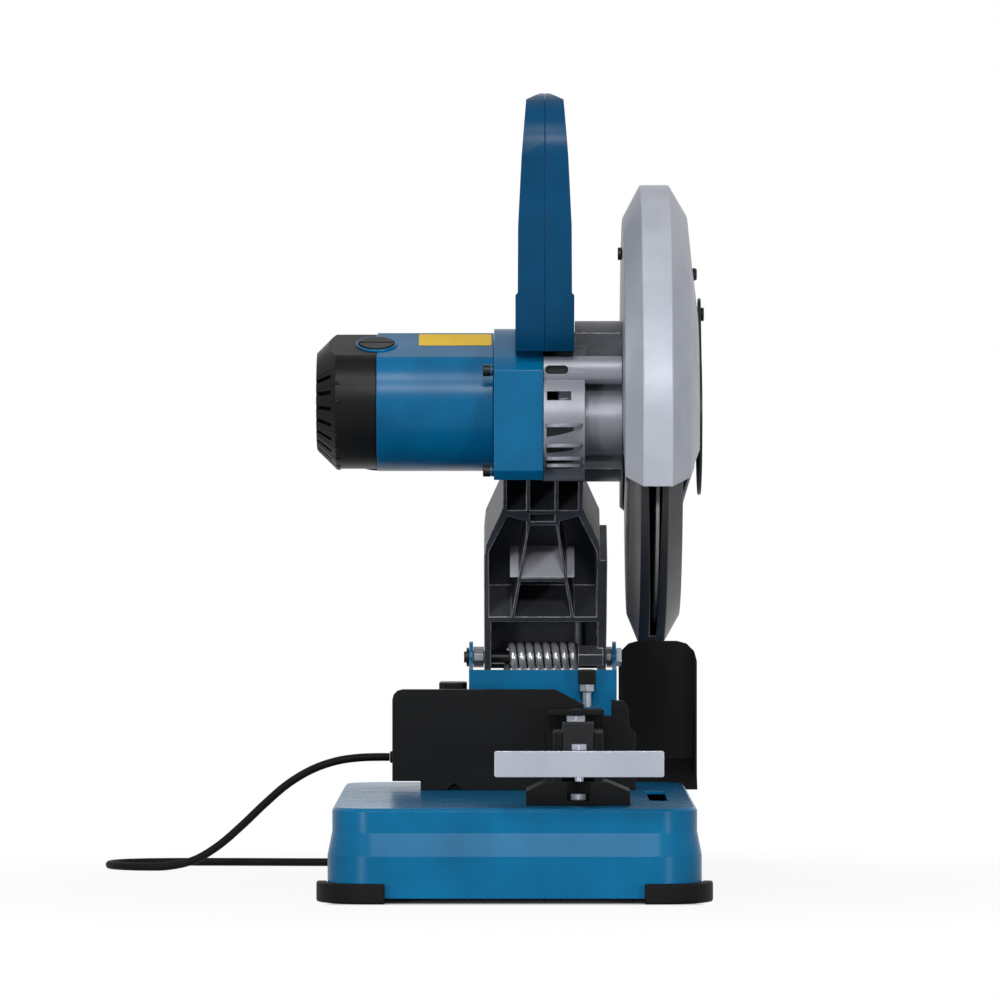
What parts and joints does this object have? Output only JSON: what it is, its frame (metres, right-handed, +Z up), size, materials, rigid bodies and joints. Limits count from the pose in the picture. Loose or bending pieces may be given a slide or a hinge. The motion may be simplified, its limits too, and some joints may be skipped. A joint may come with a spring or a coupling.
{
  "type": "abrasive chop saw",
  "caption": "Abrasive cut-off saw with a raised motor head, guarded wheel, D-handle, quick-release vise, fence, spark guard and pressed base.",
  "frame": {"origin": "on the ground, under the middle of the saw without its cord", "axes": "+Z up, +X towards the wheel side, +Y away from the operator"},
  "size_m": [0.5371, 0.6877, 0.689],
  "materials": {
    "blue_enamel": "satin powder coat",
    "blue_plastic": "satin moulded",
    "dark_blue_plastic": "fine moulded texture",
    "black_enamel": "satin powder coat",
    "dark_enamel": "satin",
    "silver_enamel": "satin metallic",
    "black_oxide": "black oxide",
    "zinc_steel": "zinc plated",
    "spring_steel": "bright",
    "grey_casting": "painted sand casting",
    "bare_casting": "as cast",
    "motor_core": "varnished laminations and windings",
    "abrasive": "resin-bonded grit",
    "black_plastic": "moulded",
    "rubber": "matte"
  },
  "bodies": {
    "base": {"base_plate": "blue_enamel", "foot_front_left": "rubber", "foot_front_right": "rubber", "foot_rear_left": "rubber", "foot_rear_right": "rubber", "spark_guard": "black_enamel", "spark_guard_strip": "zinc_steel", "pivot_bracket": "blue_enamel", "bracket_studs": "zinc_steel", "pivot_shaft": "zinc_steel", "pivot_nut": "zinc_steel", "pivot_bushing_left": "zinc_steel", "pivot_bushing_right": "zinc_steel", "torsion_spring": "spring_steel", "vise_bracket": "blue_enamel", "vise_bolt": "zinc_steel", "cord_box": "black_plastic", "strain_relief": "rubber", "cord": "rubber", "cord_coil": "rubber", "plug": "black_plastic"},
    "stop": {"stop_screw": "black_oxide"},
    "fence": {"fence": "black_enamel", "fence_bolt_left": "zinc_steel", "fence_bolt_right": "zinc_steel"},
    "half_nut": {"half_nut": "black_oxide"},
    "vise_slide": {"jaw_yoke": "black_oxide"},
    "vise_screw": {"vise_screw": "zinc_steel", "vise_handle": "zinc_steel", "handle_bolt": "zinc_steel"},
    "vise_jaw": {"vise_jaw": "black_enamel", "jaw_bolt": "zinc_steel"},
    "head": {"arm": "grey_casting", "motor_collar": "blue_plastic", "motor_housing": "blue_plastic", "end_cap": "black_plastic", "gear_housing": "bare_casting", "brush_cap_front": "black_plastic", "brush_cap_rear": "black_plastic", "stator": "motor_core", "rotor_bearing_front": "zinc_steel", "rotor_bearing_rear": "zinc_steel", "spindle_bearing": "zinc_steel", "handle_left": "dark_blue_plastic", "handle_right": "dark_blue_plastic", "switch_block": "black_plastic", "upper_guard": "silver_enamel", "guard_screw": "black_oxide", "cover_screw": "black_oxide"},
    "wheel_set": {"spindle": "zinc_steel", "spindle_gear": "zinc_steel", "cutting_wheel": "abrasive", "outer_flange": "zinc_steel", "arbor_bolt": "zinc_steel"},
    "rotor": {"rotor": "motor_core"},
    "lower_guard": {"lower_guard": "dark_enamel"},
    "arbor_cover": {"arbor_cover": "dark_enamel"},
    "trigger": {"trigger": "black_plastic"},
    "lock_button": {"lock_button": "black_plastic"}
  },
  "joints": [
    {"name": "arm_swing", "type": "hinge", "parent": "base", "child": "head", "pos_m": [0.025, 0.2345, 0.1925], "axis": [1, 0, 0], "range_deg": [0, 36.3], "stiffness_Nm_per_rad": 24, "springref_deg": -91.67, "deforming": ["torsion_spring"]},
    {"name": "wheel_spin", "type": "hinge", "parent": "head", "child": "wheel_set", "pos_m": [0.122, 0.038, 0.4056], "axis": [1, 0, 0], "continuous": true},
    {"name": "rotor_spin", "type": "hinge", "parent": "head", "child": "rotor", "pos_m": [0, 0.07993, 0.42195], "axis": [1, 0, 0], "continuous": true},
    {"name": "lower_guard_swing", "type": "hinge", "parent": "head", "child": "lower_guard", "pos_m": [0.12, 0.038, 0.4056], "axis": [1, 0, 0], "range_deg": [0, 110]},
    {"name": "arbor_cover_swing", "type": "hinge", "parent": "head", "child": "arbor_cover", "pos_m": [0.161, 0.038, 0.4976], "axis": [1, 0, 0], "range_deg": [0, 100]},
    {"name": "trigger_pull", "type": "hinge", "parent": "head", "child": "trigger", "pos_m": [0.0261, -0.014, 0.641], "axis": [-1, 0, 0], "range_deg": [0, 7], "stiffness_Nm_per_rad": 1.2, "springref_deg": -8.59},
    {"name": "lock_button_push", "type": "slide", "parent": "head", "child": "lock_button", "axis": [1, 0, 0], "range_m": [0, 0.003], "stiffness_N_per_m": 400, "springref_m": -0.002},
    {"name": "fence_swivel", "type": "hinge", "parent": "base", "child": "fence", "pos_m": [0.085, 0.114, 0.079], "axis": [0, 0, 1], "range_deg": [-20, 8]},
    {"name": "vise_travel", "type": "slide", "parent": "base", "child": "vise_slide", "axis": [0, -1, 0], "range_m": [0, 0.145]},
    {"name": "vise_turn", "type": "hinge", "parent": "vise_slide", "child": "vise_screw", "pos_m": [0.0535, -0.28, 0.1175], "axis": [0, 1, 0], "continuous": true},
    {"name": "jaw_swivel", "type": "hinge", "parent": "vise_slide", "child": "vise_jaw", "pos_m": [0.0535, 0.046, 0.12], "axis": [0, 0, 1], "range_deg": [-30, 30]},
    {"name": "half_nut_tip", "type": "hinge", "parent": "base", "child": "half_nut", "pos_m": [0.0535, -0.1555, 0.139], "axis": [-1, 0, 0], "range_deg": [0, 50]},
    {"name": "stop_adjust", "type": "slide", "parent": "base", "child": "stop", "axis": [0, 0, -1], "range_m": [0, 0.012]}
  ],
  "couplings": [
    {"joint": "rotor_spin", "follows": "wheel_spin", "ratio": -5},
    {"joint": "lower_guard_swing", "follows": "arm_swing", "ratio": 3.03}
  ]
}
